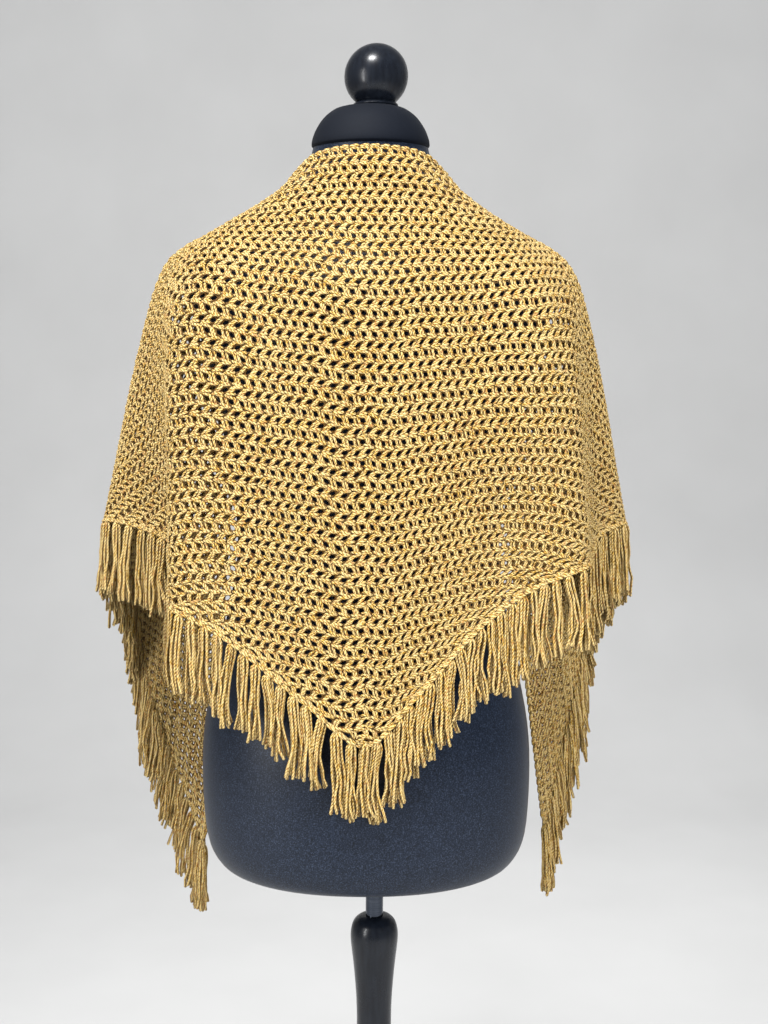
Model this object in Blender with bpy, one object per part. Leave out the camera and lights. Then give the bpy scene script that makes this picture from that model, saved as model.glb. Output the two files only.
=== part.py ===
"""Solids of a crocheted triangular shawl with fringe, draped on a dress form on a stand.

Metres, +Z up. The origin is on the floor under the middle of the base. The back of the
shawl faces -Y, which is the side the photo shows, and the photo's right is +X.
"""

import math

import bmesh
import bpy
import numpy as np

# Flat size of the crocheted triangle: half of its long edge, and its depth at the middle.
HALF_SPAN = 0.93
DEPTH = 0.61
CLOTH_THICKNESS = 0.004

# Fringe: one lock for each tassel, knotted into the two short edges.
TASSELS_PER_SIDE = 57
SEAM_GAP = 0.0006
ROOT_STRIP = 0.008
LOCK_LENGTH = 0.078
LOCK_SHARE = 0.58

# Each lock leaves the hem outwards and then hangs down: share of its length, share of the
# hem's outward spread, and width against the step before.
LOCK_STEP_COLUMNS = ("reach", "outward", "width")
LOCK_STEPS = (
    (0.36, 1.00, 1.00),
    (0.64, 0.30, 0.82),
)

# The long edge of the shawl, from the back of the neck outwards, for the right half.
TOP_EDGE_STEP = 0.03
TOP_EDGE_COLUMNS = ("x", "y", "z")
TOP_EDGE = (
    (0.000, -0.067, 1.495),
    (0.030, -0.062, 1.493),
    (0.055, -0.049, 1.487),
    (0.073, -0.030, 1.473),
    (0.088, -0.010, 1.457),
    (0.101, 0.012, 1.442),
    (0.112, 0.035, 1.425),
    (0.120, 0.058, 1.405),
)

# Falls: lines that run from the long edge over the shoulder to the fringed hem.
# top and hem are distances from the middle, along the long edge, of the fall's two ends
# on the flat cloth. The other columns are points in space on the shoulder, below it and
# at the hem. x counts outwards from the middle.
FALL_COLUMNS = (
    "top", "hem",
    "shoulder_x", "shoulder_y", "shoulder_z",
    "blade_x", "blade_y", "blade_z",
    "hem_x", "hem_y", "hem_z",
)
MIDDLE_FALL = (0.000, 0.000, 0.000, -0.084, 1.447, 0.000, -0.121, 1.345, -0.005, -0.134, 0.911)
LEFT_FALLS = (
    (0.050, 0.053, 0.052, -0.076, 1.442, 0.058, -0.121, 1.350, 0.066, -0.134, 0.956),
    (0.100, 0.118, 0.104, -0.058, 1.432, 0.114, -0.118, 1.345, 0.130, -0.131, 1.010),
    (0.135, 0.160, 0.142, -0.044, 1.418, 0.162, -0.106, 1.335, 0.176, -0.120, 1.035),
    (0.155, 0.190, 0.168, -0.032, 1.406, 0.191, -0.084, 1.325, 0.199, -0.101, 1.048),
    (0.165, 0.240, 0.187, -0.018, 1.398, 0.206, -0.054, 1.325, 0.199, -0.062, 1.096),
    (0.172, 0.298, 0.198, -0.003, 1.395, 0.219, -0.026, 1.330, 0.232, -0.036, 1.112),
    (0.178, 0.360, 0.201, 0.013, 1.394, 0.230, 0.002, 1.335, 0.278, -0.004, 1.117),
    (0.184, 0.430, 0.193, 0.030, 1.392, 0.230, 0.032, 1.330, 0.288, 0.056, 1.096),
    (0.190, 0.520, 0.179, 0.046, 1.388, 0.218, 0.066, 1.320, 0.279, 0.116, 1.036),
    (0.196, 0.630, 0.163, 0.062, 1.380, 0.198, 0.097, 1.305, 0.272, 0.142, 0.958),
    (0.203, 0.770, 0.147, 0.074, 1.368, 0.174, 0.120, 1.285, 0.247, 0.138, 0.848),
    (0.210, 0.920, 0.131, 0.084, 1.352, 0.148, 0.134, 1.262, 0.197, 0.104, 0.716),
)
RIGHT_FALLS = (
    (0.050, 0.060, 0.052, -0.078, 1.441, 0.055, -0.121, 1.350, 0.048, -0.134, 0.963),
    (0.100, 0.131, 0.104, -0.064, 1.427, 0.110, -0.119, 1.348, 0.104, -0.132, 1.026),
    (0.135, 0.198, 0.142, -0.050, 1.411, 0.160, -0.109, 1.338, 0.160, -0.127, 1.066),
    (0.155, 0.254, 0.168, -0.036, 1.399, 0.190, -0.087, 1.325, 0.210, -0.108, 1.083),
    (0.165, 0.290, 0.184, -0.020, 1.393, 0.204, -0.057, 1.325, 0.222, -0.072, 1.090),
    (0.172, 0.330, 0.194, -0.004, 1.391, 0.214, -0.028, 1.330, 0.234, -0.040, 1.106),
    (0.178, 0.380, 0.196, 0.013, 1.391, 0.223, 0.001, 1.335, 0.266, -0.006, 1.114),
    (0.184, 0.444, 0.188, 0.030, 1.390, 0.223, 0.032, 1.330, 0.272, 0.054, 1.096),
    (0.190, 0.530, 0.175, 0.046, 1.386, 0.210, 0.066, 1.320, 0.259, 0.116, 1.048),
    (0.196, 0.635, 0.159, 0.062, 1.378, 0.188, 0.097, 1.305, 0.249, 0.146, 0.975),
    (0.203, 0.775, 0.143, 0.074, 1.366, 0.163, 0.120, 1.285, 0.230, 0.138, 0.856),
    (0.210, 0.920, 0.127, 0.084, 1.350, 0.136, 0.134, 1.262, 0.201, 0.104, 0.739),
)
LAST_FALL = 12

# Folds: the fall they lie on, their width in falls, and how far they push the hem
# outwards and to the front. They grow from nothing at the shoulder.
FOLD_COLUMNS = ("fall", "width", "out", "front")
FOLDS = (
    (1.6, 0.80, 0.000, -0.004),
    (2.7, 0.60, 0.000, 0.004),
    (9.0, 0.50, -0.004, -0.012),
    (9.9, 0.50, 0.002, 0.010),
    (10.7, 0.50, 0.000, -0.011),
    (11.4, 0.45, 0.000, 0.006),
)
FOLD_START = 0.25

# Rows of the cloth wall down each fall, closer together where it bends over the shoulder.
WALL_ROWS = (0.0, 0.05, 0.10, 0.15, 0.20, 0.26, 0.34, 0.46, 0.60, 0.75, 0.88, 1.0)

# How strongly the fringe spreads outwards from the hem instead of hanging straight down.
SPREAD_COLUMNS = ("hem", "spread")
SPREAD = (
    (0.00, 0.00),
    (0.20, 0.03),
    (0.34, 0.12),
    (0.50, 0.22),
    (0.60, 0.60),
    (0.82, 0.70),
    (0.90, 0.35),
    (0.93, 0.10),
)

# Which tassels go on which backing strip, counted from the middle of the back.
FRINGE_STRETCHES = (
    ("back", 0, 14),
    ("side", 14, 30),
    ("front", 30, 57),
)

# Dress form: oval rings from the bottom up. depth_front is towards +Y, power squares the oval.
RING_COLUMNS = ("z", "middle_x", "half_width", "depth_front", "depth_back", "power")
FORM_RINGS = (
    (0.7370, -0.0055, 0.120, 0.080, 0.080, 2.2),
    (0.7405, -0.0055, 0.142, 0.096, 0.098, 2.2),
    (0.7520, -0.0055, 0.160, 0.108, 0.110, 2.2),
    (0.7800, -0.0055, 0.172, 0.118, 0.118, 2.2),
    (0.8400, -0.0055, 0.176, 0.122, 0.122, 2.2),
    (0.9000, -0.0055, 0.173, 0.118, 0.120, 2.2),
    (0.9700, -0.0050, 0.159, 0.108, 0.108, 2.2),
    (1.0400, -0.0040, 0.144, 0.098, 0.091, 2.2),
    (1.0900, -0.0030, 0.138, 0.095, 0.083, 2.2),
    (1.1400, -0.0020, 0.142, 0.102, 0.087, 2.2),
    (1.2000, -0.0010, 0.152, 0.120, 0.099, 2.2),
    (1.2500, 0.0000, 0.161, 0.122, 0.109, 2.2),
    (1.3000, 0.0000, 0.174, 0.103, 0.114, 2.2),
    (1.3400, 0.0000, 0.187, 0.082, 0.109, 2.2),
    (1.3660, -0.0010, 0.195, 0.069, 0.098, 2.1),
    (1.3860, -0.0015, 0.184, 0.061, 0.087, 2.0),
    (1.4040, -0.0015, 0.153, 0.057, 0.078, 2.0),
    (1.4280, -0.0010, 0.1140, 0.056, 0.070, 2.0),
    (1.4515, 0.0000, 0.0880, 0.056, 0.064, 2.0),
    (1.4730, 0.0000, 0.067, 0.056, 0.060, 2.0),
    (1.5000, 0.0000, 0.059, 0.057, 0.058, 2.0),
)
FORM_SEGMENTS = 40

# Turned pieces: radius and height, from the bottom up.
PROFILE_COLUMNS = ("radius", "z")
NECK_CAP = (
    (0.0000, 1.5004),
    (0.0585, 1.5004),
    (0.0605, 1.5030),
    (0.0590, 1.5110),
    (0.0545, 1.5210),
    (0.0470, 1.5310),
    (0.0370, 1.5385),
    (0.0290, 1.5410),
    (0.0000, 1.5410),
)
FINIAL_FOOT = (
    (0.0000, 1.5413),
    (0.0215, 1.5413),
    (0.0232, 1.5436),
    (0.0200, 1.5466),
)
FINIAL_BALL_RADIUS = 0.0325
FINIAL_BALL_Z = 1.5720
FINIAL_X = 0.005
FINIAL_LEAN = math.radians(1.5)
POLE = (
    (0.0000, 0.6793),
    (0.0096, 0.6793),
    (0.0096, 0.7366),
    (0.0000, 0.7366),
)
COLUMN = (
    (0.0000, 0.0368),
    (0.0450, 0.0368),
    (0.0460, 0.0420),
    (0.0340, 0.0500),
    (0.0240, 0.0640),
    (0.0230, 0.0720),
    (0.0315, 0.0800),
    (0.0340, 0.0900),
    (0.0315, 0.1000),
    (0.0230, 0.1080),
    (0.0240, 0.1200),
    (0.0250, 0.1700),
    (0.0220, 0.3200),
    (0.0198, 0.4800),
    (0.0190, 0.5560),
    (0.0195, 0.5800),
    (0.0210, 0.6035),
    (0.0232, 0.6270),
    (0.0252, 0.6440),
    (0.0261, 0.6560),
    (0.0250, 0.6660),
    (0.0222, 0.6730),
    (0.0170, 0.6775),
    (0.0115, 0.6790),
    (0.0000, 0.6790),
)
# The column and the pole lean a little to the right, by this much for each metre of height.
STAND_LEAN = 0.0048
BASE = (
    (0.0000, 0.0000),
    (0.1690, 0.0000),
    (0.1720, 0.0060),
    (0.1690, 0.0120),
    (0.1500, 0.0180),
    (0.1000, 0.0290),
    (0.0600, 0.0365),
    (0.0000, 0.0365),
)


def spline(rows, where):
    """Points of a smooth curve through evenly numbered rows, at the given row numbers."""
    rows = np.asarray(rows, float)
    last = len(rows) - 1
    where = np.clip(np.asarray(where, float), 0, last)
    first = np.minimum(where.astype(int), last - 1)
    part = (where - first)[..., None]
    before = rows[np.maximum(first - 1, 0)]
    start = rows[first]
    end = rows[first + 1]
    after = rows[np.minimum(first + 2, last)]
    start_slope = np.where((first > 0)[..., None], (end - before) / 2, end - start)
    end_slope = np.where((first + 2 <= last)[..., None], (after - start) / 2, end - start)
    square = part * part
    cube = square * part
    return (
        (2 * cube - 3 * square + 1) * start
        + (cube - 2 * square + part) * start_slope
        + (3 * square - 2 * cube) * end
        + (cube - square) * end_slope
    )


def through_points(points, steps):
    """Smooth curves through the listed points, each of which is an array of positions."""
    last = len(points) - 1
    samples = []
    for number in range(last):
        start = points[number]
        end = points[number + 1]
        chord = np.linalg.norm(end - start, axis=-1, keepdims=True)
        start_slope = end - start
        end_slope = end - start
        if number > 0:
            across = end - points[number - 1]
            start_slope = across / np.linalg.norm(across, axis=-1, keepdims=True) * chord
        if number + 2 <= last:
            across = points[number + 2] - start
            end_slope = across / np.linalg.norm(across, axis=-1, keepdims=True) * chord
        for part in np.linspace(0, 1, steps, endpoint=number == last - 1):
            square = part * part
            cube = square * part
            samples.append(
                (2 * cube - 3 * square + 1) * start
                + (cube - 2 * square + part) * start_slope
                + (3 * square - 2 * cube) * end
                + (cube - square) * end_slope
            )
    return np.array(samples)


def signed_falls():
    """All falls in one table from the left tip to the right tip, with signed x, top and hem."""
    mirror = np.array([-1, -1, -1, 1, 1, -1, 1, 1, -1, 1, 1], float)
    left = np.array(LEFT_FALLS)[::-1] * mirror
    return np.vstack([left, np.array([MIDDLE_FALL]), np.array(RIGHT_FALLS)])


ALL_FALLS = signed_falls()


def drape(falls, shares):
    """Cloth points for signed fall numbers (rows) and shares of the way down (columns)."""
    falls = np.asarray(falls, float)
    shares = np.asarray(shares, float)
    table = spline(ALL_FALLS, falls + LAST_FALL)
    top = table[:, 0]
    side = np.sign(top)[:, None]
    edge = spline(TOP_EDGE, np.abs(top) / TOP_EDGE_STEP)
    edge[:, 0] *= side[:, 0]
    curves = through_points([edge, table[:, 2:5], table[:, 5:8], table[:, 8:11]], 24)
    lengths = np.linalg.norm(np.diff(curves, axis=0), axis=-1)
    run = np.vstack([np.zeros(len(falls)), np.cumsum(lengths, axis=0)])
    points = np.empty((len(falls), len(shares), 3))
    for number in range(len(falls)):
        for axis in range(3):
            wanted = shares * run[-1, number]
            points[number, :, axis] = np.interp(wanted, run[:, number], curves[:, number, axis])
    rise = np.clip((shares - FOLD_START) / (1 - FOLD_START), 0, 1)
    for fall, width, out, front in FOLDS:
        bump = np.exp(-(((np.abs(falls) - fall) / width) ** 2))
        points[:, :, 0] += np.outer(bump * np.sign(falls), rise) * out
        points[:, :, 1] += np.outer(bump, rise) * front
    return points


def fall_of_hem(hem):
    """Signed fall number whose hem end lies at a signed distance along the long edge."""
    dense = np.linspace(-LAST_FALL, LAST_FALL, 961)
    hems = spline(ALL_FALLS, dense + LAST_FALL)[:, 1]
    return np.interp(hem, hems, dense)


def wall_columns():
    """Tassel numbers where the wall has a column: every one at the folds, every second elsewhere."""
    wanted = [0, 2, 4, 6, 8]
    wanted += list(range(9, 39))
    wanted += list(range(39, TASSELS_PER_SIDE + 1, 2))
    right = sorted(set(wanted) | {TASSELS_PER_SIDE})
    left = [-number for number in right[:0:-1]]
    return left + right


COLUMNS = wall_columns()
TIP_HEM = float(ALL_FALLS[-1, 1])


def grid_normals(points):
    """Unit normals of a grid of points, pointing away from the dress form."""
    across = np.gradient(points, axis=0)
    down = np.gradient(points, axis=1)
    normals = np.cross(down, across)
    normals /= np.linalg.norm(normals, axis=-1, keepdims=True)
    return normals


def cloth_grid():
    """Outer and inner points of the cloth wall and its middle surface."""
    hems = np.array(COLUMNS) * TIP_HEM / TASSELS_PER_SIDE
    falls = fall_of_hem(hems)
    middle = drape(falls, WALL_ROWS)
    normals = grid_normals(middle)
    half = CLOTH_THICKNESS / 2
    return middle + normals * half, middle - normals * half, middle


def new_material(name, colour, roughness, metallic=0.0):
    material = bpy.data.materials.new(name)
    material.use_nodes = True
    shader = material.node_tree.nodes["Principled BSDF"]
    shader.inputs["Base Color"].default_value = (colour[0], colour[1], colour[2], 1.0)
    shader.inputs["Roughness"].default_value = roughness
    shader.inputs["Metallic"].default_value = metallic
    material.diffuse_color = (colour[0], colour[1], colour[2], 1.0)
    return material


def finish_object(name, mesh_data, material, collection, smooth=True):
    """Turns an edited mesh into a named object with outward normals."""
    bmesh.ops.recalc_face_normals(mesh_data, faces=mesh_data.faces)
    mesh = bpy.data.meshes.new(name)
    mesh_data.to_mesh(mesh)
    mesh_data.free()
    for polygon in mesh.polygons:
        polygon.use_smooth = smooth
    mesh.materials.append(material)
    thing = bpy.data.objects.new(name, mesh)
    collection.objects.link(thing)
    return thing


def build_cloth(collection, material):
    """The crocheted wall: two grids of points with its edges closed."""
    outer, inner, middle = cloth_grid()
    columns, rows = middle.shape[:2]
    data = bmesh.new()
    outside = [[data.verts.new(outer[i, j]) for j in range(rows)] for i in range(columns)]
    inside = [[data.verts.new(inner[i, j]) for j in range(rows)] for i in range(columns)]
    for i in range(columns - 1):
        for j in range(rows - 1):
            data.faces.new((outside[i][j], outside[i + 1][j], outside[i + 1][j + 1], outside[i][j + 1]))
            data.faces.new((inside[i][j], inside[i][j + 1], inside[i + 1][j + 1], inside[i + 1][j]))
        for j in (0, rows - 1):
            data.faces.new((outside[i][j], inside[i][j], inside[i + 1][j], outside[i + 1][j]))
    for j in range(rows - 1):
        for i in (0, columns - 1):
            data.faces.new((outside[i][j], outside[i][j + 1], inside[i][j + 1], inside[i][j]))
    return finish_object("shawl_body", data, material, collection)


def strip_sections(first, last):
    """Sections of a fringe backing between two tassel numbers, with the cells that hold locks.

    Each section is (outer top, inner top, outer bottom, inner bottom), and lies on the straight
    line between two wall columns so that the strip follows the wall's hem exactly.
    """
    outer, inner, middle = cloth_grid()
    picked = [number for number, column in enumerate(COLUMNS) if first <= column <= last]
    hem_outer = outer[picked, -1]
    hem_inner = inner[picked, -1]
    along = np.gradient(middle[picked, -1], axis=0)
    along /= np.linalg.norm(along, axis=1, keepdims=True)
    down = middle[picked, -1] - middle[picked, -2]
    down -= (down * along).sum(axis=1, keepdims=True) * along
    down /= np.linalg.norm(down, axis=1, keepdims=True)
    sections = []
    locks = []
    for step in range(len(picked) - 1):
        count = COLUMNS[picked[step + 1]] - COLUMNS[picked[step]]
        margin = (1 - LOCK_SHARE) / 2
        marks = [0.03] if step == 0 else [0.0]
        for lock in range(count):
            marks += [(lock + margin) / count, (lock + 1 - margin) / count]
        if step == len(picked) - 2:
            marks.append(0.97)
        for number, share in enumerate(marks):
            here_outer = hem_outer[step] * (1 - share) + hem_outer[step + 1] * share
            here_inner = hem_inner[step] * (1 - share) + hem_inner[step + 1] * share
            here_down = down[step] * (1 - share) + down[step + 1] * share
            top = here_down * SEAM_GAP
            low = here_down * (SEAM_GAP + ROOT_STRIP)
            sections.append((here_outer + top, here_inner + top, here_outer + low, here_inner + low))
            if number % 2 == 1 and number < 2 * count:
                tassel = COLUMNS[picked[step]] + (number + 1) / 2 - 0.5
                locks.append((len(sections) - 1, tassel, here_down))
    return sections, locks


def build_fringe(name, first, last, collection, material, generator):
    """One backing strip with a tapered lock hanging from it for each tassel."""
    sections, locks = strip_sections(first, last)
    data = bmesh.new()
    rings = [[data.verts.new(point) for point in section] for section in sections]
    bottoms = []
    for number in range(len(rings) - 1):
        here = rings[number]
        following = rings[number + 1]
        data.faces.new((here[0], following[0], following[1], here[1]))
        data.faces.new((here[0], here[2], following[2], following[0]))
        data.faces.new((here[1], following[1], following[3], here[3]))
        bottoms.append(data.faces.new((here[2], here[3], following[3], following[2])))
    for ring in (rings[0], rings[-1]):
        data.faces.new((ring[0], ring[1], ring[3], ring[2]))
    bmesh.ops.recalc_face_normals(data, faces=data.faces)
    spread_hem, spread_value = np.array(SPREAD).T
    for section, tassel, down in locks:
        spread = np.interp(abs(tassel) * TIP_HEM / TASSELS_PER_SIDE, spread_hem, spread_value)
        length = LOCK_LENGTH * generator.uniform(0.94, 1.06)
        sway = generator.uniform(-0.022, 0.022)
        face = bottoms[section]
        target = np.array(face.calc_center_median())
        for reach, outward, width in LOCK_STEPS:
            hang = np.array([sway, 0.0, -1.0]) + down * spread * outward
            target = target + hang / np.linalg.norm(hang) * length * reach
            face = bmesh.ops.extrude_discrete_faces(data, faces=[face])["faces"][0]
            middle = np.array(face.calc_center_median())
            for corner in face.verts:
                offset = (np.array(corner.co) - middle) * width
                corner.co = target + offset
    return finish_object(name, data, material, collection, smooth=False)


def build_form(collection, material):
    """The padded torso, lofted through its rings."""
    data = bmesh.new()
    rings = []
    for z, middle_x, half_width, depth_front, depth_back, power in FORM_RINGS:
        ring = []
        for number in range(FORM_SEGMENTS):
            angle = 2 * math.pi * number / FORM_SEGMENTS
            across = math.copysign(abs(math.cos(angle)) ** (2 / power), math.cos(angle))
            ahead = math.copysign(abs(math.sin(angle)) ** (2 / power), math.sin(angle))
            depth = depth_front if ahead > 0 else depth_back
            ring.append(data.verts.new((middle_x + half_width * across, depth * ahead, z)))
        rings.append(ring)
    for lower, upper in zip(rings, rings[1:]):
        for number in range(FORM_SEGMENTS):
            following = (number + 1) % FORM_SEGMENTS
            data.faces.new((lower[number], lower[following], upper[following], upper[number]))
    data.faces.new(rings[0][::-1])
    data.faces.new(rings[-1])
    return finish_object("form_torso", data, material, collection)


def turn(name, profile, segments, collection, material):
    """A turned piece: its profile spun round the upright axis."""
    data = bmesh.new()
    verts = [data.verts.new((radius, 0.0, z)) for radius, z in profile]
    edges = [data.edges.new(pair) for pair in zip(verts, verts[1:])]
    bmesh.ops.spin(
        data,
        geom=verts + edges,
        cent=(0, 0, 0),
        axis=(0, 0, 1),
        angle=2 * math.pi,
        steps=segments,
        use_merge=True,
    )
    bmesh.ops.remove_doubles(data, verts=data.verts, dist=0.00002)
    return finish_object(name, data, material, collection)


def finial_profile():
    """The finial's foot and, above it, the ball from its narrow neck to its top."""
    rows = list(FINIAL_FOOT)
    start = -math.radians(50)
    for number in range(11):
        angle = start + (math.pi / 2 - start) * number / 10
        rows.append((FINIAL_BALL_RADIUS * math.cos(angle), FINIAL_BALL_Z + FINIAL_BALL_RADIUS * math.sin(angle)))
    rows[-1] = (0.0, FINIAL_BALL_Z + FINIAL_BALL_RADIUS)
    return rows


def main():
    for thing in list(bpy.data.objects):
        bpy.data.objects.remove(thing)
    shown = bpy.data.collections.new("shawl on dress form")
    bpy.context.scene.collection.children.link(shown)

    yarn = new_material("mustard_yarn", (0.62, 0.36, 0.10), 0.95)
    jersey = new_material("navy_jersey", (0.018, 0.024, 0.040), 0.85)
    cap_cloth = new_material("black_cap", (0.010, 0.011, 0.014), 0.75)
    black_wood = new_material("black_wood", (0.008, 0.008, 0.009), 0.28)
    chrome = new_material("chrome", (0.75, 0.76, 0.78), 0.12, 1.0)

    build_cloth(shown, yarn)
    generator = np.random.default_rng(7)
    for label, first, last in FRINGE_STRETCHES:
        build_fringe("fringe_" + label + "_right", first, last, shown, yarn, generator)
        build_fringe("fringe_" + label + "_left", -last, -first, shown, yarn, generator)
    build_form(shown, jersey)
    turn("neck_cap", NECK_CAP, 32, shown, cap_cloth)
    ball = turn("ball_finial", finial_profile(), 28, shown, black_wood)
    for vertex in ball.data.vertices:
        lift = vertex.co.z - FINIAL_FOOT[0][1]
        vertex.co.x += FINIAL_X + lift * math.tan(FINIAL_LEAN)
    pole = turn("pole", POLE, 24, shown, chrome)
    column = turn("column", COLUMN, 28, shown, black_wood)
    for piece in (pole, column):
        for vertex in piece.data.vertices:
            vertex.co.x += STAND_LEAN * (vertex.co.z - BASE[-1][1])
    turn("base", BASE, 48, shown, black_wood)


main()
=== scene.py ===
"""Looks of a crocheted triangular shawl with fringe, draped on a dress form on a stand.

Metres, +Z up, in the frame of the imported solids. The back of the shawl faces -Y.
"""

import math

import bpy
import numpy as np
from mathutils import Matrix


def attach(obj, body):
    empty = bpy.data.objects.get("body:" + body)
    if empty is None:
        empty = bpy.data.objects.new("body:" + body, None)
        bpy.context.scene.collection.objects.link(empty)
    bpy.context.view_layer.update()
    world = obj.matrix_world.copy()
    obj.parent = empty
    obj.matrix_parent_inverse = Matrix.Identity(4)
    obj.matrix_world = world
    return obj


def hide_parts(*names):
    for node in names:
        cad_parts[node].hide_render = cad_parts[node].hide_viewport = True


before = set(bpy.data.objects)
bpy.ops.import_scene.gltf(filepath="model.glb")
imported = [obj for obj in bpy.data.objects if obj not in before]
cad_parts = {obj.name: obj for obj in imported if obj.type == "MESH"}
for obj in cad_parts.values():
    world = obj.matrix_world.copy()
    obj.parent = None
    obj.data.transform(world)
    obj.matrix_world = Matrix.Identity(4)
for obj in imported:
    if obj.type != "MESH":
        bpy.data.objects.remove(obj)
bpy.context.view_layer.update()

# Flat cut of the crocheted triangle, as in the solids: its depth. Half of its long edge is the last
# fall's hem, TIP_HEM.
DEPTH = 0.61

# The long edge of the shawl, from the back of the neck outwards, for the right half. Its
# points lie TOP_EDGE_STEP apart on the flat cloth. Columns: x, y, z.
TOP_EDGE_STEP = 0.03
TOP_EDGE = (
    (0.000, -0.067, 1.495), (0.030, -0.062, 1.493), (0.055, -0.049, 1.487),
    (0.073, -0.030, 1.473), (0.088, -0.010, 1.457), (0.101, 0.012, 1.442),
    (0.112, 0.035, 1.425), (0.120, 0.058, 1.405),
)

# Falls: lines that run from the long edge over the shoulder to the fringed hem.
# Columns: top and hem, the distances of its two ends from the middle, along the long edge of
# the flat cloth. Then x, y, z on the shoulder, below it on the blade, and at the hem. x counts
# outwards from the middle.
MIDDLE_FALL = (0.000, 0.000, 0.000, -0.084, 1.447, 0.000, -0.121, 1.345, -0.005, -0.134, 0.911)
LEFT_FALLS = (
    (0.050, 0.053, 0.052, -0.076, 1.442, 0.058, -0.121, 1.350, 0.066, -0.134, 0.956),
    (0.100, 0.118, 0.104, -0.058, 1.432, 0.114, -0.118, 1.345, 0.130, -0.131, 1.010),
    (0.135, 0.160, 0.142, -0.044, 1.418, 0.162, -0.106, 1.335, 0.176, -0.120, 1.035),
    (0.155, 0.190, 0.168, -0.032, 1.406, 0.191, -0.084, 1.325, 0.199, -0.101, 1.048),
    (0.165, 0.240, 0.187, -0.018, 1.398, 0.206, -0.054, 1.325, 0.199, -0.062, 1.096),
    (0.172, 0.298, 0.198, -0.003, 1.395, 0.219, -0.026, 1.330, 0.232, -0.036, 1.112),
    (0.178, 0.360, 0.201, 0.013, 1.394, 0.230, 0.002, 1.335, 0.278, -0.004, 1.117),
    (0.184, 0.430, 0.193, 0.030, 1.392, 0.230, 0.032, 1.330, 0.288, 0.056, 1.096),
    (0.190, 0.520, 0.179, 0.046, 1.388, 0.218, 0.066, 1.320, 0.279, 0.116, 1.036),
    (0.196, 0.630, 0.163, 0.062, 1.380, 0.198, 0.097, 1.305, 0.272, 0.142, 0.958),
    (0.203, 0.770, 0.147, 0.074, 1.368, 0.174, 0.120, 1.285, 0.247, 0.138, 0.848),
    (0.210, 0.920, 0.131, 0.084, 1.352, 0.148, 0.134, 1.262, 0.197, 0.104, 0.716),
)
RIGHT_FALLS = (
    (0.050, 0.060, 0.052, -0.078, 1.441, 0.055, -0.121, 1.350, 0.048, -0.134, 0.963),
    (0.100, 0.131, 0.104, -0.064, 1.427, 0.110, -0.119, 1.348, 0.104, -0.132, 1.026),
    (0.135, 0.198, 0.142, -0.050, 1.411, 0.160, -0.109, 1.338, 0.160, -0.127, 1.066),
    (0.155, 0.254, 0.168, -0.036, 1.399, 0.190, -0.087, 1.325, 0.210, -0.108, 1.083),
    (0.165, 0.290, 0.184, -0.020, 1.393, 0.204, -0.057, 1.325, 0.222, -0.072, 1.090),
    (0.172, 0.330, 0.194, -0.004, 1.391, 0.214, -0.028, 1.330, 0.234, -0.040, 1.106),
    (0.178, 0.380, 0.196, 0.013, 1.391, 0.223, 0.001, 1.335, 0.266, -0.006, 1.114),
    (0.184, 0.444, 0.188, 0.030, 1.390, 0.223, 0.032, 1.330, 0.272, 0.054, 1.096),
    (0.190, 0.530, 0.175, 0.046, 1.386, 0.210, 0.066, 1.320, 0.259, 0.116, 1.048),
    (0.196, 0.635, 0.159, 0.062, 1.378, 0.188, 0.097, 1.305, 0.249, 0.146, 0.975),
    (0.203, 0.775, 0.143, 0.074, 1.366, 0.163, 0.120, 1.285, 0.230, 0.138, 0.856),
    (0.210, 0.920, 0.127, 0.084, 1.350, 0.136, 0.134, 1.262, 0.201, 0.104, 0.739),
)
LAST_FALL = len(LEFT_FALLS)

# Folds. Columns: the fall they lie on, their width in falls, and how far they push the hem
# outwards and to the front. They grow from nothing at the share FOLD_START of the way down.
FOLDS = (
    (1.6, 0.80, 0.000, -0.004),
    (2.7, 0.60, 0.000, 0.004),
    (9.0, 0.50, -0.004, -0.012),
    (9.9, 0.50, 0.002, 0.010),
    (10.7, 0.50, 0.000, -0.011),
    (11.4, 0.45, 0.000, 0.006),
)
FOLD_START = 0.25

# Where the rows lie on the falls. Columns: the fall, and the shares of its rows that lie above
# EARLY_LENGTH and above MIDDLE_LENGTH of its length. They crowd near the neck and open out over
# the back. The mean over PACE_OFFSETS smooths the change between the three stretches.
EARLY_LENGTH = 0.25
MIDDLE_LENGTH = 0.60
PACE_OFFSETS = (-0.08, -0.04, 0.0, 0.04, 0.08)
PACE = (
    (-7, 0.250, 0.600), (-5, 0.340, 0.645), (-4, 0.320, 0.620),
    (-3, 0.310, 0.620), (-2, 0.290, 0.610), (-1, 0.280, 0.610),
    (0, 0.270, 0.610), (1, 0.270, 0.600), (2, 0.260, 0.590),
    (3, 0.275, 0.585), (4, 0.310, 0.615), (5, 0.330, 0.630),
    (7, 0.250, 0.600),
)

# How strongly the fringe spreads outwards from the hem instead of hanging straight down.
# Columns: distance from the middle along the long edge, spread.
SPREAD = (
    (0.00, 0.00), (0.20, 0.03), (0.34, 0.12), (0.50, 0.22), (0.60, 0.75),
    (0.70, 1.00), (0.82, 1.05), (0.90, 0.60), (0.93, 0.25),
)

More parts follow.
